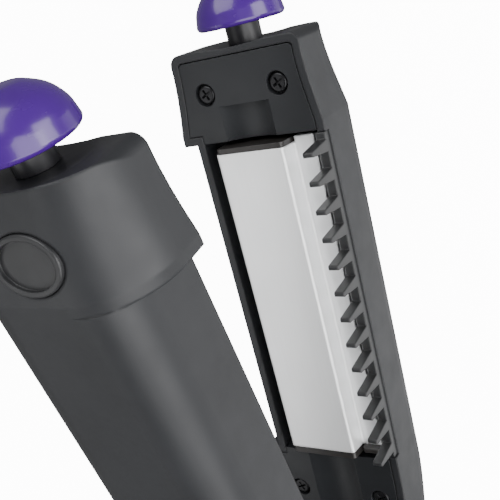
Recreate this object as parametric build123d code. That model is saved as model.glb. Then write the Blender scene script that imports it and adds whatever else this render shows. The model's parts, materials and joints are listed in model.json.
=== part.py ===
from build123d import *
import math
import os

# Hair crimper with two identical heated arms on one hinge pin.
# Each arm is drawn in its own frame: the hinge axis is X, +Y runs to the tip, z = 0 is the
# plane where the two plates meet when shut, and the arm's back is on the -Z side.

# ---- whole tool ----
OPEN_ANGLE = 12.0          # jaw angle with the tool released, degrees
BACK_DEPTH = 26.0          # from the meeting plane to the arm's flat back
HALF_WIDTH = 21.1          # widest part of the arm
RELIEF = 3.5               # the side opposite the comb is set in by this much
CORNER_RADIUS = 9.6        # long rounded edges of the back
HEAD_CORNER = 16.0         # rounder edge of the head on the side opposite the comb
RIM = -3.5                 # height of the shell's rim and of both covers
WALL = 2.2
COVER_GAP = 0.25           # parting gap round each cover
COVER_THICKNESS = 3.8

# ---- stations along the arm ----
PLATE_START = 150.0
PLATE_LENGTH = 90.0
PLATE_END = PLATE_START + PLATE_LENGTH
BASE_EDGE = PLATE_START - 3.5      # plate end of the handle cover
HEAD_EDGE = PLATE_END + 2.5        # plate end of the head cover
HEAD_BEND = PLATE_END + 5.0        # the back starts to slope here
TIP = PLATE_END + 26.6
TIP_DEPTH = 21.2
TIP_HALF_WIDTH = 19.4
TIP_CORNER = 3.0           # upright corners of the end face
HEAD_LEFT = 21.8           # half width of the head's plate end on the relieved side
TIP_DISH = 0.9             # the end face is hollowed by this much
DISH_RADIUS = 90.0
GRIP_START = 138.0
GRIP_END = 14.0
UPPER_REAR = 13.5          # rear end of the upper shell
LOWER_REAR = -26.0         # rear end of the lower shell
COVER_REAR = 15.0          # rear edge of the handle covers
LEAD_NOTCH = -6.4          # top of the notch where the leads pass under the handle cover

# ---- plate ----
PLATE_HALF = 10.2
PLATE_FACE = -0.15         # leaves 0.3 mm between the shut plates
PLATE_STEP = 5.0
PLATE_WALL = 2.7
LEDGE_OUT = 16.6
FRONT_HOLDER = 1.4         # visible length of the end holder at the tip
REAR_HOLDER = 2.1

# ---- comb ----
TOOTH_COUNT = 13
TOOTH_PITCH = 7.29
TOOTH_TOP = 4.7
TOOTH_BASE = 3.1
TOOTH_THICKNESS = 2.6
COMB_SEAM = -5.7
COMB_OUT = HALF_WIDTH - 0.4

# ---- screws ----
SCREW_HEAD_RADIUS = 2.5
COUNTERBORE_RADIUS = 3.0
PILOT_RADIUS = 1.15
HEAD_SCREWS = [(-10.9, PLATE_END + 15.4), (10.9, PLATE_END + 15.4)]
HANDLE_SCREWS = [(-13.3, 132.0), (13.3, 132.0), (-9.0, 24.0), (9.0, 24.0)]

# ---- tip knob ----
STEM_Z = -11.6
STEM_RADIUS = 4.5
KNOB_RADIUS = 11.4
KNOB_START = TIP + 4.0
KNOB_HEIGHT = 11.0

# ---- oval badge on the upper head ----
BADGE_Y = PLATE_END + 13.0
BADGE_ACROSS = 8.7
BADGE_ALONG = 6.1

# ---- hinge ----
PIN_RADIUS = 2.0
BARREL_RADIUS = 10.5
BARREL_HALF = 9.7
EAR_RADIUS = 11.0
EAR_IN = 10.1
EAR_OUT = 15.5
SPRING_RADIUS = 3.6
SPRING_WIRE = 1.2
SPRING_REST = -SPRING_RADIUS - SPRING_WIRE / 2 - 0.03

# ---- controls on the lower handle ----
DIAL_Y = 44.0
DIAL_RADIUS = 8.6
SWITCH_Y = 74.0
SWITCH_TRAVEL = 4.0
LED_Y = 59.5

# ---- cord inlet ----
SWIVEL_Z = -16.0
SWIVEL_RADIUS = 6.0
SWIVEL_BORE = 3.5
SWIVEL_END = -48.0

COVER_UNDER = RIM - COVER_THICKNESS
HEAD_SLOPE = math.degrees(math.atan2(BACK_DEPTH - TIP_DEPTH, TIP - HEAD_BEND))

os.makedirs("parts", exist_ok=True)


def slab(x0, x1, y0, y1, z0, z1):
    """Box between two corners."""
    box = Box(x1 - x0, y1 - y0, z1 - z0)
    return Pos((x0 + x1) / 2, (y0 + y1) / 2, (z0 + z1) / 2) * box


def post(x, y, z0, z1, radius):
    """Upright cylinder between two heights."""
    return Pos(x, y, (z0 + z1) / 2) * Cylinder(radius, z1 - z0)


def along_y(x, z, y0, y1, radius):
    """Cylinder along the arm."""
    return Pos(x, (y0 + y1) / 2, z) * Rot(90, 0, 0) * Cylinder(radius, y1 - y0)


def along_x(x0, x1, radius, y=0.0, z=0.0):
    """Cylinder across the arm."""
    return Pos((x0 + x1) / 2, y, z) * Rot(0, 90, 0) * Cylinder(radius, x1 - x0)


def cross_section(y, left, right, depth, inset, top, left_corner=CORNER_RADIUS):
    """Outline across the arm: open side flat, two round corners on the back."""
    share = depth / BACK_DEPTH
    r0 = (left_corner - inset) * share
    r1 = (CORNER_RADIUS - inset) * share
    x0 = -left + inset
    x1 = right - inset
    low = -depth + inset
    k0 = r0 * (1 - math.sqrt(0.5))
    k1 = r1 * (1 - math.sqrt(0.5))
    edges = [
        Line((x0, top), (x1, top)),
        Line((x1, top), (x1, low + r1)),
        ThreePointArc((x1, low + r1), (x1 - k1, low + k1), (x1 - r1, low)),
        Line((x1 - r1, low), (x0 + r0, low)),
        ThreePointArc((x0 + r0, low), (x0 + k0, low + k0), (x0, low + r0)),
        Line((x0, low + r0), (x0, top)),
    ]
    plane = Plane(origin=(0, y, 0), x_dir=(1, 0, 0), z_dir=(0, -1, 0))
    return plane * make_face(edges)


def straight_run(y0, y1, left, right, inset, top, left_corner=CORNER_RADIUS):
    """Part of the arm with one cross-section."""
    first = cross_section(y0, left, right, BACK_DEPTH, inset, top, left_corner)
    last = cross_section(y1, left, right, BACK_DEPTH, inset, top, left_corner)
    return loft([first, last], ruled=True)


def head_depth(y):
    """Depth of the head, which gets evenly thinner towards the tip."""
    share = (y - HEAD_BEND) / (TIP - HEAD_BEND)
    return BACK_DEPTH + (TIP_DEPTH - BACK_DEPTH) * share


def tip_corner_cut(side, half, end, radius):
    """What rounding one upright tip corner takes away."""
    x = side * (half - radius)
    y = end - radius
    block = slab(min(x, side * 30), max(x, side * 30), y, end + 2, -40, 10)
    return block - post(x, y, -41, 11, radius)


def head_run(inset, top):
    """Head: flared at the plate end, thinner and narrower at the tip, with rounded tip corners."""
    end = TIP - inset
    stations = [
        (HEAD_BEND, HEAD_LEFT, HALF_WIDTH),
        (HEAD_BEND + 5.0, HEAD_LEFT - 1.0, HALF_WIDTH - 0.7),
        (HEAD_BEND + 11.0, HEAD_LEFT - 1.9, HALF_WIDTH - 1.5),
        (end, TIP_HALF_WIDTH, TIP_HALF_WIDTH),
    ]
    faces = []
    for y, left, right in stations:
        faces.append(cross_section(y, left, right, head_depth(y), inset, top, HEAD_CORNER))
    head = loft(faces)
    for side in (-1, 1):
        head -= tip_corner_cut(side, TIP_HALF_WIDTH - inset, end, max(TIP_CORNER - inset, 1.2))
    start = HEAD_EDGE + inset
    return straight_run(start, HEAD_BEND, HEAD_LEFT, HALF_WIDTH, inset, top, HEAD_CORNER) + head


def grip_run(inset, top):
    """Handle part: narrows behind the plates and has a shallow waist on its back."""
    stations = [
        (GRIP_START, HALF_WIDTH, BACK_DEPTH),
        (118.0, 19.7, 25.3),
        (92.0, 17.4, 23.8),
        (66.0, 16.3, 23.2),
        (38.0, 15.7, 24.4),
        (GRIP_END, 15.5, BACK_DEPTH),
    ]
    faces = []
    for y, half, depth in stations:
        faces.append(cross_section(y, half, half, depth, inset, top))
    grip = loft(faces)
    front_edge = BASE_EDGE - inset
    wide = straight_run(GRIP_START, front_edge, HALF_WIDTH, HALF_WIDTH, inset, top)
    tail = straight_run(LOWER_REAR + inset, GRIP_END, 15.5, 15.5, inset, top)
    return grip + wide + tail


def plate_run(inset, top, y0, y1):
    """Part of the arm beside the plate: full width on the comb side, set in on the other."""
    return straight_run(y0, y1, HALF_WIDTH - RELIEF, HALF_WIDTH, inset, top)


def arm_body(rear, inset, top):
    """Whole arm, inset from its outer surface."""
    middle = plate_run(inset, top, BASE_EDGE - 4, HEAD_EDGE + inset + 0.02)
    whole = grip_run(inset, top) + middle + head_run(inset, top)
    return whole & slab(-40, 40, rear + inset, TIP + 10, -40, 40)


def screw_boss(x, y, floor):
    """Round post that a cover screw bites into."""
    return post(x, y, floor, COVER_UNDER - 0.02, 2.9)


def shell_common(rear):
    """Moulded shell without its hinge end."""
    shell = arm_body(rear, 0.0, RIM) - arm_body(rear, WALL, 5.0)
    shell -= Pos(0, TIP - TIP_DISH + DISH_RADIUS, STEM_Z) * Sphere(DISH_RADIUS)
    inside = arm_body(rear, WALL - 0.4, RIM)
    for x, y in HEAD_SCREWS + HANDLE_SCREWS:
        shell += screw_boss(x, y, -BACK_DEPTH) & inside
    for y in (PLATE_START + 6, PLATE_START + 32, PLATE_START + 58, PLATE_END - 6):
        shell += slab(-17, 18, y - 0.8, y + 0.8, -BACK_DEPTH, -21.9) & inside
    for x, y in HEAD_SCREWS + HANDLE_SCREWS:
        shell -= post(x, y, COVER_UNDER - 9.5, RIM + 1, PILOT_RADIUS)
    comb_seat = slab(HALF_WIDTH - WALL - 1, 30, PLATE_START - 2.5, PLATE_END + 2.1, COMB_SEAM, 6)
    shell -= comb_seat
    shell -= along_y(0, STEM_Z, TIP - 6, TIP + 6, 3.1)
    return shell


def lower_shell():
    """Lower shell with two hinge ears and the cord end."""
    shell = shell_common(LOWER_REAR)
    for side in (-1, 1):
        x0 = min(side * EAR_IN, side * EAR_OUT)
        ear = along_x(x0, x0 + EAR_OUT - EAR_IN, EAR_RADIUS)
        ear += slab(x0, x0 + EAR_OUT - EAR_IN, -EAR_RADIUS, EAR_RADIUS, -19, 0)
        shell += ear
    shell -= along_x(-30, 30, PIN_RADIUS + 0.02)
    for side in (-1, 1):
        x0 = side * (EAR_OUT - 0.7)
        x1 = side * (EAR_OUT + 1)
        shell -= along_x(min(x0, x1), max(x0, x1), 6.3)
    shell += slab(-13.6, 13.6, -19.6, -18.0, -24, -8)
    shell += slab(-8.0, 8.0, 12.0, 14.2, -24.5, SPRING_REST)
    shell -= along_y(0, SWIVEL_Z, LOWER_REAR - 2, -10, SWIVEL_RADIUS + 0.05)
    for x in (-9.5, 9.5):
        shell += post(x, -15.2, -24, COVER_UNDER - 0.02, 2.4)
        shell -= post(x, -15.2, COVER_UNDER - 9.5, RIM + 1, PILOT_RADIUS)
    for x in (-9.6, 9.6):
        for y in (37.0, 93.0):
            shell += post(x, y, -24.0, -15.62, 2.0)
    return shell


def upper_shell():
    """Upper shell with one central hinge barrel and the stop that sets the open angle."""
    shell = shell_common(UPPER_REAR)
    barrel = along_x(-BARREL_HALF, BARREL_HALF, BARREL_RADIUS)
    web = slab(-BARREL_HALF, BARREL_HALF, 2.0, UPPER_REAR + 1.5, -16.5, SPRING_REST)
    heel = slab(-BARREL_HALF, BARREL_HALF, -15.0, -5.0, -3.0, 3.3)
    barrel += web + Rot(OPEN_ANGLE, 0, 0) * heel
    barrel -= slab(-4.2, 4.2, -20, 9.5, -20, 20)
    barrel -= slab(-4.2, 4.2, 0, 13, SPRING_REST, 20)
    shell += barrel
    shell -= along_x(-30, 30, PIN_RADIUS + 0.05)
    return shell - facet_place(oval(0.15, -1.5, 3.0))


def oval(grow, z0, z1):
    """Upright oval block about the origin, its long axis across the arm."""
    face = Ellipse(BADGE_ACROSS + grow, BADGE_ALONG + grow)
    return Pos(0, 0, z0) * extrude(face, z1 - z0)


def facet_place(shape):
    """Moves a shape from the origin, +Z outwards, on to the sloping back of the head."""
    return Pos(0, BADGE_Y, -head_depth(BADGE_Y)) * Rot(HEAD_SLOPE, 0, 0) * Rot(0, 180, 0) * shape


def comb():
    """Comb strip: a seat on the shell wall, an inner leg and thirteen narrow teeth."""
    inner = HALF_WIDTH - WALL
    y0 = PLATE_START - 2.3
    y1 = PLATE_END + 1.9
    body = slab(inner - 0.1, COMB_OUT, y0, y1, COMB_SEAM + 0.03, RIM - 0.1)
    leg = slab(inner - 1.2, inner + 0.5, y0, y1, -9.6, RIM - 0.1)
    inner_edge = leg.edges().filter_by(Axis.Y).group_by(Axis.Z)[-1].group_by(Axis.X)[0]
    leg = fillet(inner_edge, 0.8)
    body += leg & slab(inner - 2, inner - 0.1, y0, y1, -10, 0)
    for i in range(TOOTH_COUNT):
        start = PLATE_END + 0.1 - i * TOOTH_PITCH
        middle = start - TOOTH_BASE / 2
        outline = Polyline(
            (start, RIM - 0.6),
            (start, RIM - 0.1),
            (middle + 0.62, TOOTH_TOP),
            (middle - 0.62, TOOTH_TOP),
            (start - TOOTH_BASE, RIM - 0.1),
            (start - TOOTH_BASE, RIM - 0.6),
            close=True,
        )
        face = make_face(outline)
        tops = face.vertices().group_by(Axis.Y)[-1]
        face = fillet(tops, 0.5)
        plane = Plane(origin=(COMB_OUT - TOOTH_THICKNESS, 0, 0), x_dir=(0, 1, 0), z_dir=(1, 0, 0))
        body += extrude(plane * face, TOOTH_THICKNESS)
    return body


def finger_groove(y0, y1):
    """Shallow round-bottomed channel in a cover."""
    half = 7.5
    depth = 1.8
    radius = (half * half + depth * depth) / (2 * depth)
    return along_y(0, RIM - depth + radius, y0, y1, radius)


def counterbore(x, y):
    """Stepped hole for one cover screw."""
    return post(x, y, RIM - 2.0, RIM + 1, COUNTERBORE_RADIUS) + post(x, y, -12, RIM, 1.45)


def tip_cover():
    """Inner cover of the head, inset in the shell's rim."""
    zone = slab(-30, 30, HEAD_EDGE + 0.1, 300, COVER_UNDER, RIM)
    cover = arm_body(UPPER_REAR, WALL + COVER_GAP, RIM) & zone
    flange = slab(-14.0, 17.2, HEAD_EDGE + 0.1, HEAD_EDGE + 1.7, -11.5, COVER_UNDER + 0.1)
    cover += flange
    cover -= finger_groove(HEAD_EDGE - 2, PLATE_END + 11.8)
    for x, y in HEAD_SCREWS:
        cover -= counterbore(x, y)
    return cover


def handle_cover(controls):
    """Inner cover of the handle; the lower one has the openings for the controls."""
    zone = slab(-30, 30, COVER_REAR, BASE_EDGE - 0.1, COVER_UNDER, RIM)
    rear = LOWER_REAR if controls else UPPER_REAR
    cover = arm_body(rear, WALL + COVER_GAP, RIM) & zone
    flange = slab(-14.0, 17.2, BASE_EDGE - 1.7, BASE_EDGE - 0.1, -11.5, COVER_UNDER + 0.1)
    flange -= slab(-4.2, 4.2, BASE_EDGE - 2, BASE_EDGE, -12, LEAD_NOTCH)
    cover += flange
    cover -= finger_groove(BASE_EDGE - 54, BASE_EDGE + 2)
    for x, y in HANDLE_SCREWS:
        cover -= counterbore(x, y)
    if controls:
        cover -= post(0, DIAL_Y, RIM - 1.4, RIM + 1, DIAL_RADIUS + 0.5)
        cover -= post(0, DIAL_Y, -12, RIM, 2.6)
        middle = SWITCH_Y + SWITCH_TRAVEL / 2
        reach = 6.0 + SWITCH_TRAVEL / 2 + 0.5
        cover -= slab(-4.6, 4.6, middle - reach, middle + reach, RIM - 1.0, RIM + 1)
        slot = 2.5 + SWITCH_TRAVEL / 2 + 0.4
        cover -= slab(-2.4, 2.4, middle - slot, middle + slot, -12, RIM)
        cover -= post(0, LED_Y, -12, RIM + 1, 1.55)
    return cover


def phillips_screw(x, y):
    """Pan-head cross-recess screw for a cover."""
    head = post(x, y, RIM - 1.95, RIM - 0.35, SCREW_HEAD_RADIUS)
    head = fillet(head.edges().group_by(Axis.Z)[-1], 0.7)
    shank = post(x, y, COVER_UNDER - 8.0, RIM - 1.9, PILOT_RADIUS - 0.03)
    cross = slab(x - 1.5, x + 1.5, y - 0.28, y + 0.28, RIM - 1.25, RIM)
    cross += slab(x - 0.28, x + 0.28, y - 1.5, y + 1.5, RIM - 1.25, RIM)
    return head + shank - Pos(x, y, 0) * Rot(0, 0, 25) * Pos(-x, -y, 0) * cross


def screw_set(places):
    """Several identical screws kept as one piece."""
    return Compound(children=[phillips_screw(x, y) for x, y in places])


def tip_stem():
    """Dark spacer between the head and its knob, with a spigot through the head's end wall."""
    stem = along_y(0, STEM_Z, TIP - 0.7, KNOB_START - 0.05, STEM_RADIUS)
    stem += along_y(0, STEM_Z, TIP - WALL - 0.3, TIP + 0.5, 3.0)
    return stem - along_y(0, STEM_Z, TIP - 10, KNOB_START + 1, 1.4)


def tip_knob():
    """Domed knob that stays cool enough to hold the tip."""
    r = KNOB_RADIUS
    h = KNOB_HEIGHT
    outline = Polyline((0, 1.0), (STEM_RADIUS + 0.6, 1.0), (STEM_RADIUS + 1.4, 0), (r - 1.2, 0))
    rim = ThreePointArc((r - 1.2, 0), (r - 0.35, 0.35), (r, 1.2))
    side = Line((r, 1.2), (r - 0.4, 3.6))
    dome = Spline([(r - 0.4, 3.6), (r - 1.4, 6.0), (r - 3.1, 8.2), (r - 5.6, 9.9), (0.8, h)],
                  tangents=[(-0.2, 1), (-1, 0)])
    crown = Polyline((0.8, h), (0, h), (0, 1.0))
    face = make_face([*outline.edges(), rim, side, dome, *crown.edges()])
    knob = revolve(face, Axis.Y, 360)
    hole = along_y(0, 0, -1, 7.5, 1.12)
    return Pos(0, KNOB_START, STEM_Z) * (knob - hole)


def knob_screw():
    """Screw from inside the head through the stem into the knob."""
    head = along_y(0, STEM_Z, TIP - WALL - 2.0, TIP - WALL - 0.35, 2.6)
    return head + along_y(0, STEM_Z, TIP - WALL - 1, KNOB_START + 6.5, 1.08)


def heat_frame():
    """Insulating tray between the hot plate and the shell."""
    y0 = PLATE_START - 1.2
    y1 = PLATE_END + 1.2
    outer = plate_run(WALL + 0.3, 5.0, y0, y1) & slab(-30, 30, y0, y1, -21.85, -10.2)
    inner = plate_run(WALL + 1.5, 5.0, y0 + 1.2, y1 - 1.2)
    tray = outer - (inner & slab(-30, 30, y0, y1, -20.6, 5))
    for y in (PLATE_START + 8, PLATE_END - 8):
        tray += post(0, y, -20.8, -18.6, 2.1)
    tray -= slab(-5, 5, y0 - 1, y0 + 3, -17.5, 5)
    tray -= slab(-13, 17.2, y0 - 1, y0 + 2, -11.9, 5)
    tray -= slab(-13, 17.2, y1 - 2, y1 + 1, -11.9, 5)
    return tray


def plate():
    """Smooth aluminium bar with a lower ledge on the comb side and a channel underneath."""
    top = PLATE_FACE
    ledge = top - PLATE_STEP
    p = PLATE_HALF
    outline = Polyline(
        (-p, top),
        (p - 0.1, top),
        (p + 0.6, ledge),
        (LEDGE_OUT, ledge),
        (LEDGE_OUT, ledge - 2.4),
        (p - 1.6, ledge - 2.4),
        (p - 1.9, top - PLATE_WALL),
        (-p + 2.3, top - PLATE_WALL),
        (-p + 2.3, top - 8.8),
        (-p, top - 8.8),
        close=True,
    )
    face = make_face(outline)
    crest = [v for v in face.vertices() if v.Y > top - 0.01]
    face = fillet(crest, 0.9)
    foot = [v for v in face.vertices() if abs(v.Y - ledge) < 0.01 and v.X < p + 1]
    face = fillet(foot, 0.8)
    plane = Plane(origin=(0, PLATE_END, 0), x_dir=(1, 0, 0), z_dir=(0, -1, 0))
    bar = extrude(plane * face, PLATE_LENGTH)
    ledge_end = slab(p + 0.9, LEDGE_OUT, PLATE_END - 0.5, PLATE_END + 1.5, ledge - 2.4, ledge)
    return bar + ledge_end


def holder_outline(ledge):
    """Profile of the end holders: the plate's own outline, a little lower."""
    top = PLATE_FACE - 0.25
    p = PLATE_HALF - 0.2
    outline = Polyline(
        (-p, top),
        (p, top),
        (p + 0.7, ledge),
        (LEDGE_OUT - 0.2, ledge),
        (LEDGE_OUT - 0.2, -10.4),
        (-p, -10.4),
        close=True,
    )
    face = make_face(outline)
    crest = [v for v in face.vertices() if v.Y > top - 0.01]
    return fillet(crest, 1.0)


def plate_holder(rear_end):
    """Moulded end holder with a tongue in the plate's channel and a spring peg below."""
    ledge = PLATE_FACE - PLATE_STEP
    if rear_end:
        length = REAR_HOLDER
        y0 = PLATE_START - 0.05 - length
        outline = holder_outline(ledge - 0.2)
        tongue = slab(-7.5, 8.0, PLATE_START - 0.1, PLATE_START + 13, -10.4, -6.7)
        peg_y = PLATE_START + 8
    else:
        length = FRONT_HOLDER
        y0 = PLATE_END + 0.05
        outline = holder_outline(ledge - 2.6)
        tongue = slab(-7.5, 8.0, PLATE_END - 13, PLATE_END + 0.1, -10.4, -6.7)
        peg_y = PLATE_END - 8
    plane = Plane(origin=(0, y0 + length, 0), x_dir=(1, 0, 0), z_dir=(0, -1, 0))
    holder = extrude(plane * outline, length) + tongue + post(0, peg_y, -12.2, -10.3, 1.9)
    if rear_end:
        lug = slab(11.4, LEDGE_OUT - 0.1, y0 + 0.1, y0 + length, -7.0, -3.1)
        holder += fillet(lug.edges().group_by(Axis.Z)[-1], 0.95)
        holder -= slab(-3.7, 3.7, y0 - 1, PLATE_START + 20, -8.3, -4.9)
    return holder


def heater():
    """Flat ceramic heating element under the plate's face."""
    top = PLATE_FACE - PLATE_WALL - 0.05
    bar = slab(-6.6, 7.2, PLATE_START + 14, PLATE_END - 14, top - 1.8, top)
    pads = slab(-3.6, -2.0, PLATE_START + 12.5, PLATE_START + 15, top - 1.4, top - 0.6)
    pads += slab(2.0, 3.6, PLATE_START + 12.5, PLATE_START + 15, top - 1.4, top - 0.6)
    return bar + pads


def heater_clamp():
    """Bowed leaf spring that presses the heater against the plate."""
    top = PLATE_FACE - PLATE_WALL - 1.95
    span = PLATE_LENGTH - 34
    waves = 4
    step = span / waves
    plane = Plane(origin=(-5.6, 0, 0), x_dir=(0, 1, 0), z_dir=(1, 0, 0))
    leaf = None
    for i in range(waves):
        y = PLATE_START + 17 + i * step
        arch = Polyline(
            (y, top - 0.1), (y + step / 2, top - 1.9), (y + step, top - 0.1),
            (y + step, top - 0.6), (y + step / 2, top - 2.4), (y, top - 0.6),
            close=True,
        )
        bow = extrude(plane * make_face(arch), 12.0)
        leaf = bow if leaf is None else leaf + bow
    return leaf


def thermostat():
    """Thermal cut-out held under the clamp."""
    middle = PLATE_START + 45
    can = along_y(0.5, -10.0, middle - 6, middle + 6, 2.3)
    can += along_y(0.5, -10.0, middle - 9.5, middle + 9.5, 0.5)
    return can


def coil(radius, wire, z0, z1, turns):
    """Compression spring standing on z0."""
    height = z1 - z0 - wire
    path = Helix(pitch=height / turns, height=height, radius=radius)
    start = path @ 0
    tangent = path % 0
    section = Plane(origin=start, z_dir=tangent) * Circle(wire / 2)
    return Pos(0, 0, z0 + wire / 2) * sweep(section, path)


def plate_springs():
    """Two springs that push the plate out of the arm."""
    one = coil(2.9, 0.7, -20.55, -10.45, 6)
    return Compound(children=[
        Pos(0, PLATE_START + 8, 0) * one,
        Pos(0, PLATE_END - 8, 0) * one,
    ])


def wire_run(points, radius):
    """Insulated lead along a smooth path."""
    path = Spline(points)
    section = Plane(origin=path @ 0, z_dir=path % 0) * Circle(radius)
    return sweep(section, path)


def lead_wires(end_y, end_z):
    """Pair of leads from the heater back into the handle."""
    runs = []
    for side in (-1, 1):
        x = side * 2.8
        runs.append(wire_run([
            (x, PLATE_START + 12.0, -7.0),
            (x, PLATE_START + 6.0, -7.1),
            (x, PLATE_START - 1.0, -7.2),
            (x, PLATE_START - 12.0, -13.0),
            (side * 4.5, 118.0, -15.5),
            (side * 5.5, (118.0 + end_y) / 2, (end_z - 15.5) / 2),
            (side * 5.5, end_y, end_z),
        ], 0.7))
    return Compound(children=runs)


def badge():
    """Plain oval plate with a raised rim; it carries no mark."""
    disc = oval(0, -1.45, 0.6)
    disc = fillet(disc.edges().group_by(Axis.Z)[-1], 0.4)
    return facet_place(disc - oval(-1.2, -0.35, 3.0))


def hinge_pin():
    """Steel pin through both ears and the barrel."""
    return along_x(-EAR_OUT + 0.75, EAR_OUT - 0.75, PIN_RADIUS)


def hinge_cap(side):
    """Round cap that hides one end of the pin."""
    x0 = side * (EAR_OUT - 0.65)
    x1 = side * (EAR_OUT + 0.9)
    cap = along_x(min(x0, x1), max(x0, x1), 6.2)
    outer = cap.edges().group_by(Axis.X)[-1 if side > 0 else 0]
    return fillet(outer, 0.6)


def hinge_washers():
    """Two thin washers that take up the side play of the barrel."""
    rings = []
    for side in (-1, 1):
        x0 = side * (BARREL_HALF + 0.05)
        x1 = side * (EAR_IN - 0.05)
        ring = along_x(min(x0, x1), max(x0, x1), 5.0)
        rings.append(ring - along_x(-20, 20, PIN_RADIUS + 0.1))
    return Compound(children=rings)


def hinge_spring():
    """Torsion spring round the pin; one leg rests on the lower shell, one lifts the upper."""
    length = 7.0
    turns = 5
    half = length / 2 - SPRING_WIRE / 2
    path = Helix(pitch=2 * half / turns, height=2 * half, radius=SPRING_RADIUS)
    section = Plane(origin=path @ 0, z_dir=path % 0) * Circle(SPRING_WIRE / 2)
    spring = Pos(-half, 0, 0) * Rot(0, 90, 0) * sweep(section, path)
    spring += along_y(-half, -SPRING_RADIUS, 0, 13.6, SPRING_WIRE / 2)
    lift = along_y(half, SPRING_RADIUS, 0, 13.0, SPRING_WIRE / 2)
    return spring + Rot(OPEN_ANGLE, 0, 0) * lift


def rear_cap():
    """Small cover over the lower arm's rear end, behind the hinge."""
    zone = slab(-30, 30, -30, -11.8, COVER_UNDER, RIM)
    cap = arm_body(LOWER_REAR, WALL + COVER_GAP, RIM) & zone
    for x in (-9.5, 9.5):
        cap -= counterbore(x, -15.2)
    return cap


def circuit_board():
    """Control board with its larger parts."""
    board = slab(-11.6, 11.6, 33.0, 98.0, -15.6, -14.0)
    board += slab(-10, -3, 57.5, 67.5, -14.1, -8.4)
    board += post(7.0, 64.0, -14.1, -8.2, 3.2)
    board += slab(3.5, 10.5, 86.0, 95.0, -14.1, -9.2)
    for y in (52.0, 55.5, 80.0, 83.5):
        board += slab(-10.5, -7.5, y, y + 1.8, -14.1, -12.9)
    for x in (-9.6, 9.6):
        for y in (37.0, 93.0):
            board -= post(x, y, -20, -10, 1.1)
    return board


def dial_pot():
    """Rotary control that the temperature dial turns."""
    body = slab(-5, 5, DIAL_Y - 5, DIAL_Y + 5, -13.95, -9.4)
    return body - post(0, DIAL_Y, -12.5, -8, 1.75)


def dial():
    """Knurled temperature dial with its shaft and pointer."""
    z0 = RIM - 1.1
    z1 = RIM + 1.5
    wheel = post(0, DIAL_Y, z0, z1, DIAL_RADIUS)
    wheel = fillet(wheel.edges().group_by(Axis.Z)[-1], 0.5)
    ribs = 30
    for i in range(ribs):
        turn = Rot(0, 0, i * 360 / ribs)
        groove = turn * Pos(DIAL_RADIUS + 0.1, 0, (z0 + z1) / 2) * Cylinder(0.45, 5)
        wheel -= Pos(0, DIAL_Y, 0) * groove
    wheel -= slab(-0.5, 0.5, DIAL_Y + 3.5, DIAL_Y + 7.0, z1 - 0.4, z1 + 1)
    return wheel + post(0, DIAL_Y, -12.0, z0 + 0.1, 1.7)


def switch_body():
    """Slide switch on the board."""
    middle = SWITCH_Y + SWITCH_TRAVEL / 2
    box = slab(-4.0, 4.0, middle - 7, middle + 7, -13.95, -10.4)
    slot = 1.6 + SWITCH_TRAVEL / 2
    return box - slab(-1.4, 1.4, middle - slot, middle + slot, -12.6, -9)


def switch_slider():
    """Ribbed thumb piece with its stem down to the switch."""
    y = SWITCH_Y
    cap = slab(-4.2, 4.2, y - 6, y + 6, RIM - 0.7, RIM + 0.9)
    cap = fillet(cap.edges().filter_by(Axis.Z), 1.2)
    for i in range(5):
        rib_y = y - 3.6 + i * 1.8
        cap += slab(-3.4, 3.4, rib_y - 0.4, rib_y + 0.4, RIM + 0.8, RIM + 1.4)
    cap += slab(-2.0, 2.0, y - 2.4, y + 2.4, -9.2, RIM - 0.6)
    cap += slab(-3.4, 3.4, y - 3.4, y + 3.4, -9.3, COVER_UNDER - 0.3)
    cap += slab(-1.1, 1.1, y - 1.2, y + 1.2, -12.2, -9.0)
    return cap


def led_lens():
    """Light pipe of the power lamp."""
    lens = post(0, LED_Y, -11.5, RIM + 0.35, 1.45)
    return fillet(lens.edges().group_by(Axis.Z)[-1], 0.5)


def cord_swivel():
    """Turning sleeve in the rear end: a collar inside, ribs outside, and the cord's bore."""
    z = SWIVEL_Z
    sleeve = along_y(0, z, SWIVEL_END, LOWER_REAR + 0.1, 6.9)
    sleeve = fillet(sleeve.edges().group_by(Axis.Y)[0], 1.2)
    sleeve = sleeve & slab(-20, 20, SWIVEL_END, LOWER_REAR - 0.3, z - 20, z + 20)
    sleeve += along_y(0, z, LOWER_REAR - 0.5, -17.0, SWIVEL_RADIUS)
    sleeve += along_y(0, z, -23.4, -20.0, SWIVEL_RADIUS + 1.5)
    for i in range(4):
        y = SWIVEL_END + 4.0 + i * 3.6
        ring = along_y(0, z, y, y + 1.5, 8) - along_y(0, z, y - 1, y + 3, 6.1)
        sleeve -= ring
    return sleeve - along_y(0, z, SWIVEL_END - 1, 0, SWIVEL_BORE)


def swivel_clip():
    """Spring clip on the sleeve's inner end that keeps it in the shell."""
    ring = along_y(0, SWIVEL_Z, -17.7, -17.1, SWIVEL_RADIUS + 1.5)
    return ring - along_y(0, SWIVEL_Z, -19, -16, SWIVEL_RADIUS + 0.02)


LOWER = Pos(0, 0, BACK_DEPTH)
UPPER = Pos(0, 0, BACK_DEPTH) * Rot(OPEN_ANGLE, 0, 0) * Rot(0, 180, 0)


def save(name, shape):
    """Writes one sub-part."""
    export_step(shape, "parts/" + name + ".step")


shared = {
    "comb": comb(),
    "tip_cover": tip_cover(),
    "tip_cover_screws": screw_set(HEAD_SCREWS),
    "handle_cover_screws": screw_set(HANDLE_SCREWS),
    "tip_stem": tip_stem(),
    "tip_knob": tip_knob(),
    "knob_screw": knob_screw(),
    "heat_frame": heat_frame(),
    "plate": plate(),
    "plate_holder_front": plate_holder(False),
    "plate_holder_rear": plate_holder(True),
    "heater": heater(),
    "heater_clamp": heater_clamp(),
    "thermostat": thermostat(),
    "plate_springs": plate_springs(),
}
for name, shape in shared.items():
    save("lower_" + name, LOWER * shape)
    save("upper_" + name, UPPER * shape)

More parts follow.
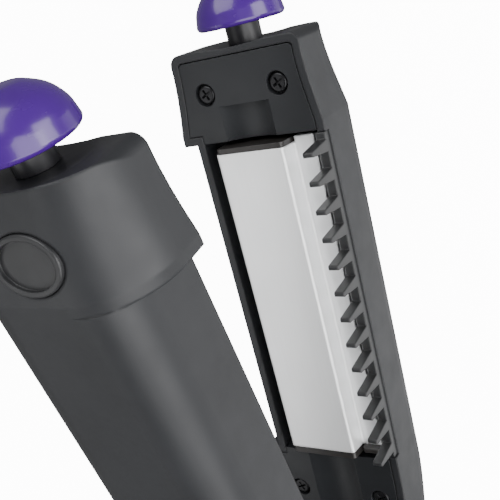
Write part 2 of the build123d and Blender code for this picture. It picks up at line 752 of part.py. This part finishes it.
save("lower_shell", LOWER * lower_shell())
save("upper_shell", UPPER * upper_shell())
save("lower_handle_cover", LOWER * handle_cover(True))
save("upper_handle_cover", UPPER * handle_cover(False))
save("lower_lead_wires", LOWER * lead_wires(99.5, -14.8))
save("upper_lead_wires", UPPER * lead_wires(20.0, -14.0))
save("upper_badge", UPPER * badge())
save("hinge_pin", LOWER * hinge_pin())
save("hinge_cap_left", LOWER * hinge_cap(-1))
save("hinge_cap_right", LOWER * hinge_cap(1))
save("hinge_washers", LOWER * hinge_washers())
save("hinge_spring", LOWER * hinge_spring())
save("rear_cap", LOWER * rear_cap())
save("rear_cap_screws", LOWER * screw_set([(-9.5, -15.2), (9.5, -15.2)]))
save("circuit_board", LOWER * circuit_board())
save("dial_pot", LOWER * dial_pot())
save("dial", LOWER * dial())
save("switch_body", LOWER * switch_body())
save("switch_slider", LOWER * switch_slider())
save("led_lens", LOWER * led_lens())
save("cord_swivel", LOWER * cord_swivel())
save("swivel_clip", LOWER * swivel_clip())
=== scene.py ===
import bpy
import json
import math
from mathutils import Matrix, Vector


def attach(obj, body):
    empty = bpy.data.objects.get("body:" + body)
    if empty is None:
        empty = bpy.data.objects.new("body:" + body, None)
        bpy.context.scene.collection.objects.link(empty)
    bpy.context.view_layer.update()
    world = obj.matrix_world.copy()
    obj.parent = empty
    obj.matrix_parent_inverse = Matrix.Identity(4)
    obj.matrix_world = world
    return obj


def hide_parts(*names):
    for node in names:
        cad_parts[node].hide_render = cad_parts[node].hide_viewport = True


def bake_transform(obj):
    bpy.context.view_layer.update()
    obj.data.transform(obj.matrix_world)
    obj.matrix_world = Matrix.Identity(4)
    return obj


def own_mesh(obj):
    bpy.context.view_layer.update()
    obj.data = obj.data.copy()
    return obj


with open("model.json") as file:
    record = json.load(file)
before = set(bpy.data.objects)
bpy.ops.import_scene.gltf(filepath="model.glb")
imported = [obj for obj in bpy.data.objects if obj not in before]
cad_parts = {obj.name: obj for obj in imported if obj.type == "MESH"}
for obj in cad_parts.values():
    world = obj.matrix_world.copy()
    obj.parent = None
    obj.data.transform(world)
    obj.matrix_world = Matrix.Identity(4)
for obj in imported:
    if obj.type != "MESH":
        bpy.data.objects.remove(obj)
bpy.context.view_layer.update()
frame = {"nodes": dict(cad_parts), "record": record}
nodes = frame["nodes"]

SHARP_ANGLE = math.radians(28)      # edges sharper than this stay crisp in smooth shading
OPEN = math.radians(12.0)           # angle between the arms at rest
AXIS_HEIGHT = 0.026                 # height of the hinge axis above the ground
STUDIO_MIDDLE = Vector((0, 0.2, 0.03))


# ---------------------------------------------------------------- materials
def new_material(name):
    mat = bpy.data.materials.new(name)
    mat.use_nodes = True
    tree = mat.node_tree
    return mat, tree, tree.nodes["Principled BSDF"]


def coordinates(tree, scale=(1, 1, 1)):
    coords = tree.nodes.new("ShaderNodeTexCoord")
    mapping = tree.nodes.new("ShaderNodeMapping")
    mapping.inputs["Scale"].default_value = scale
    tree.links.new(coords.outputs["Object"], mapping.inputs["Vector"])
    return mapping.outputs["Vector"]


def noise(tree, vector, scale, detail=3.0, rough=0.5):
    node = tree.nodes.new("ShaderNodeTexNoise")
    node.inputs["Scale"].default_value = scale
    node.inputs["Detail"].default_value = detail
    node.inputs["Roughness"].default_value = rough
    tree.links.new(vector, node.inputs["Vector"])
    return node.outputs["Fac"]


def remap(tree, value, low, high, out_low, out_high):
    node = tree.nodes.new("ShaderNodeMapRange")
    node.inputs["From Min"].default_value = low
    node.inputs["From Max"].default_value = high
    node.inputs["To Min"].default_value = out_low
    node.inputs["To Max"].default_value = out_high
    tree.links.new(value, node.inputs["Value"])
    return node.outputs["Result"]


def bump(tree, height, strength, distance, under=None):
    node = tree.nodes.new("ShaderNodeBump")
    node.inputs["Strength"].default_value = strength
    node.inputs["Distance"].default_value = distance
    tree.links.new(height, node.inputs["Height"])
    if under is not None:
        tree.links.new(under, node.inputs["Normal"])
    return node.outputs["Normal"]


def soft_edges(tree, radius):
    """Shading normal with every sharp edge slightly rounded."""
    node = tree.nodes.new("ShaderNodeBevel")
    node.samples = 6
    node.inputs["Radius"].default_value = radius
    return node.outputs["Normal"]


def mix_colour(tree, factor, first, second):
    node = tree.nodes.new("ShaderNodeMix")
    node.data_type = "RGBA"
    node.inputs["A"].default_value = (*first, 1)
    node.inputs["B"].default_value = (*second, 1)
    tree.links.new(factor, node.inputs["Factor"])
    return node.outputs["Result"]


def scaled(colour, factor):
    return tuple(min(1.0, c * factor) for c in colour)


def moulded(name, colour, rough, grain=2600.0, specular=0.5, edge=0.00025):
    """Moulded plastic: fine spark grain, faint long waves and uneven gloss."""
    vary, grain_depth, wave_depth = 0.12, 0.00002, 0.00004
    mat, tree, shader = new_material(name)
    vector = coordinates(tree)
    blotch = remap(tree, noise(tree, vector, 45.0, 4.0), 0.3, 0.7, 0, 1)
    tree.links.new(mix_colour(tree, blotch, scaled(colour, 1 - vary), scaled(colour, 1 + vary)),
                   shader.inputs["Base Color"])
    gloss = noise(tree, vector, 160.0)
    tree.links.new(remap(tree, gloss, 0.25, 0.75, rough - 0.05, rough + 0.05),
                   shader.inputs["Roughness"])
    fine = bump(tree, noise(tree, vector, grain, 2.0), 0.35, grain_depth, soft_edges(tree, edge))
    tree.links.new(bump(tree, noise(tree, vector, 70.0, 2.0), 0.3, wave_depth, fine),
                   shader.inputs["Normal"])
    shader.inputs["Specular IOR Level"].default_value = specular
    return mat


def brushed(name, colour, rough, along, depth=0.000006, metallic=1.0, edge=0.0002):
    """Metal with fine lines along one axis of the row frame."""
    across_scale, along_scale, vary = 900.0, 14.0, 0.04
    mat, tree, shader = new_material(name)
    stretch = [across_scale] * 3
    stretch[along] = along_scale
    lines = noise(tree, coordinates(tree, tuple(stretch)), 3.0, 5.0, 0.6)
    tree.links.new(mix_colour(tree, remap(tree, lines, 0.3, 0.7, 0, 1), scaled(colour, 1 - vary), colour),
                   shader.inputs["Base Color"])
    cloud = noise(tree, coordinates(tree), 90.0)
    tree.links.new(remap(tree, cloud, 0.3, 0.7, rough - 0.04, rough + 0.04), shader.inputs["Roughness"])
    tree.links.new(bump(tree, lines, 0.4, depth, soft_edges(tree, edge)), shader.inputs["Normal"])
    shader.inputs["Metallic"].default_value = metallic
    return mat


def glossy(name, colour, rough, coat=0.6):
    """Polished plastic with slight moulding ripple."""
    ripple_depth = 0.00006
    mat, tree, shader = new_material(name)
    vector = coordinates(tree)
    depth = remap(tree, noise(tree, vector, 30.0, 2.0), 0.3, 0.7, 0, 1)
    tree.links.new(mix_colour(tree, depth, scaled(colour, 0.85), colour), shader.inputs["Base Color"])
    gloss = noise(tree, vector, 220.0)
    tree.links.new(remap(tree, gloss, 0.3, 0.7, rough - 0.03, rough + 0.05), shader.inputs["Roughness"])
    tree.links.new(bump(tree, noise(tree, vector, 110.0, 2.0), 0.15, ripple_depth),
                   shader.inputs["Normal"])
    shader.inputs["Coat Weight"].default_value = coat
    shader.inputs["Coat Roughness"].default_value = 0.08
    return mat


MATERIALS = {
    "shell": moulded("shell_satin", (0.0160, 0.0169, 0.0192), 0.48, specular=0.46, edge=0.0009),
    "comb": moulded("comb_satin", (0.025, 0.0257, 0.027), 0.38, edge=0.0007),
    "cover": moulded("cover_matte", (0.017, 0.018, 0.020), 0.34, grain=1900.0, specular=0.30),
    "stem": moulded("stem_black", (0.012, 0.012, 0.014), 0.35),
    "holder": moulded("holder_resin", (0.020, 0.018, 0.017), 0.36, grain=1500.0),
    "knob": glossy("knob_purple", (0.050, 0.0065, 0.175), 0.24, coat=0.25),
    "badge": moulded("badge_satin", (0.019, 0.0195, 0.021), 0.42, edge=0.0004),
    "insulator": moulded("insulator_black", (0.006, 0.006, 0.007), 0.7),
    "plate": brushed("plate_aluminium", (0.95, 0.958, 0.965), 0.36, 1,
                     depth=0.000009, metallic=0.45, edge=0.0008),
    "ceramic": moulded("heater_ceramic", (0.72, 0.69, 0.62), 0.6),
    "black_steel": brushed("screw_black", (0.02, 0.02, 0.022), 0.28, 0, metallic=0.6),
    "bright_steel": brushed("steel_bright", (0.62, 0.62, 0.64), 0.25, 0),
    "brass": brushed("brass_plain", (0.72, 0.55, 0.25), 0.3, 0),
    "wire": moulded("wire_silicone", (0.20, 0.035, 0.02), 0.5),
    "board": moulded("board_green", (0.02, 0.13, 0.06), 0.4),
    "board_part": moulded("board_part_grey", (0.05, 0.05, 0.06), 0.45),
    "lens": glossy("lens_red", (0.55, 0.06, 0.04), 0.12),
    "sleeve": moulded("sleeve_rubber", (0.025, 0.025, 0.027), 0.6),
}

slot_of = {row["node"]: row["material_slot"] for row in frame["record"]["subparts"]}
for name, obj in nodes.items():
    obj.data.materials.clear()
    obj.data.materials.append(MATERIALS[slot_of[name]])
    for polygon in obj.data.polygons:
        polygon.use_smooth = True
    obj.data.set_sharp_from_angle(angle=SHARP_ANGLE)


# ---------------------------------------------------------------- springs and leads shown as separate copies
def lower_point(x, y, z):
    """Row-frame place of a point given in the lower arm's own frame."""
    return (x, y, AXIS_HEIGHT + z)


def upper_point(x, y, z):
    """Row-frame place of a point given in the upper arm's own frame."""
    return (-x,
            y * math.cos(OPEN) + z * math.sin(OPEN),
            AXIS_HEIGHT + y * math.sin(OPEN) - z * math.cos(OPEN))


def flexible(name):
    """Copy of a CAD piece; it is shown instead of the CAD piece."""
    bpy.context.view_layer.update()
    piece = bpy.data.objects.new(name + "_flexible", nodes[name].data.copy())
    piece.matrix_world = nodes[name].matrix_world
    bpy.context.scene.collection.objects.link(piece)
    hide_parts(name)
    return piece


for arm, place, push in (("lower", lower_point, (0, 0, 1)),
                         ("upper", upper_point, (0, -math.sin(OPEN), math.cos(OPEN)))):
    springs = flexible(arm + "_plate_springs")
    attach(springs, arm + "_arm")
    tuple(place(0, 0.158, -0.02055))
    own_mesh(springs)
    leads = flexible(arm + "_lead_wires")
    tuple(place(0, 0.128, -0.01))
    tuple(place(0, 0.1475, -0.01))
    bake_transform(leads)

torsion = flexible("hinge_spring")
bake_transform(torsion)


# ---------------------------------------------------------------- floor, light and camera
def floor_material():
    """Even white ground that glows, so that it stays white without lighting the object."""
    mat, tree, shader = new_material("floor_white")
    tone = mix_colour(tree, noise(tree, coordinates(tree), 6.0, 2.0), (0.93, 0.93, 0.93), (0.96, 0.96, 0.96))
    tree.links.new(tone, shader.inputs["Base Color"])
    shader.inputs["Roughness"].default_value = 0.9
    shader.inputs["Specular IOR Level"].default_value = 0.1
    shader.inputs["Emission Color"].default_value = (1, 1, 1, 1)
    shader.inputs["Emission Strength"].default_value = 12.0
    return mat


def plain_floor():
    """Round white floor that curves up into a wall far from the object."""
    steps = 48
    profile = [(2.5, 0.0), (3.3, 0.1), (3.8, 0.4), (4.0, 1.0), (4.0, 4.0)]
    points = [(0, 0, 0)]
    for radius, height in profile:
        for i in range(steps):
            turn = 2 * math.pi * i / steps
            points.append((radius * math.cos(turn), radius * math.sin(turn), height))
    faces = []
    for i in range(steps):
        j = (i + 1) % steps
        faces.append((0, 1 + i, 1 + j))
        for ring in range(len(profile) - 1):
            base = 1 + ring * steps
            faces.append((base + i, base + j, base + steps + j, base + steps + i))
    mesh = bpy.data.meshes.new("floor")
    mesh.from_pydata(points, [], [face[::-1] for face in faces])
    mesh.materials.append(floor_material())
    floor = bpy.data.objects.new("floor", mesh)
    bpy.context.scene.collection.objects.link(floor)
    floor.visible_diffuse = False
    floor.visible_glossy = False
    floor.visible_transmission = False
    floor.visible_shadow = False


def area_light(name, place, size, power):
    """Square light that faces the middle of the object."""
    data = bpy.data.lights.new(name, "AREA")
    data.energy = power
    data.size = size
    light = bpy.data.objects.new(name, data)
    light.location = place
    light.rotation_euler = (STUDIO_MIDDLE - place).to_track_quat("-Z", "Y").to_euler()
    bpy.context.scene.collection.objects.link(light)


def studio():
    world = bpy.data.worlds.new("studio")
    bpy.context.scene.world = world
    world.use_nodes = True
    back = world.node_tree.nodes["Background"]
    back.inputs["Color"].default_value = (1.0, 1.0, 1.0, 1)
    back.inputs["Strength"].default_value = 0.27
    for name, way, reach, size, power in (
            ("side_key", (0.77, -0.31, 0.55), 1.1, 1.3, 22.0),
            ("low_side", (0.9, 0.25, 0.05), 1.1, 0.7, 9.0),
            ("bounce", (0.62, -0.3, -0.7), 1.0, 1.2, 5.0),
            ("far_top", (-0.2, 0.8, 0.6), 1.1, 0.9, 10.0),
            ("sheen", (-0.55, -0.31, 0.77), 1.2, 0.75, 2.6)):
        area_light(name, STUDIO_MIDDLE + Vector(way).normalized() * reach, size, power)


def camera():
    data = bpy.data.cameras.new("camera")
    data.sensor_width = 36.0
    data.lens = 55.3
    data.clip_start = 0.01
    cam = bpy.data.objects.new("camera", data)
    bpy.context.scene.collection.objects.link(cam)
    right = Vector((0.8325, -0.2399, -0.4993))
    down = Vector((-0.0298, -0.9194, 0.3921))
    forward = Vector((-0.5532, -0.3116, -0.7726))
    turn = Matrix((right, -down, -forward)).transposed().to_4x4()
    cam.matrix_world = Matrix.Translation((0.1076, 0.2778, 0.1861)) @ turn
    bpy.context.scene.camera = cam


plain_floor()
studio()
camera()
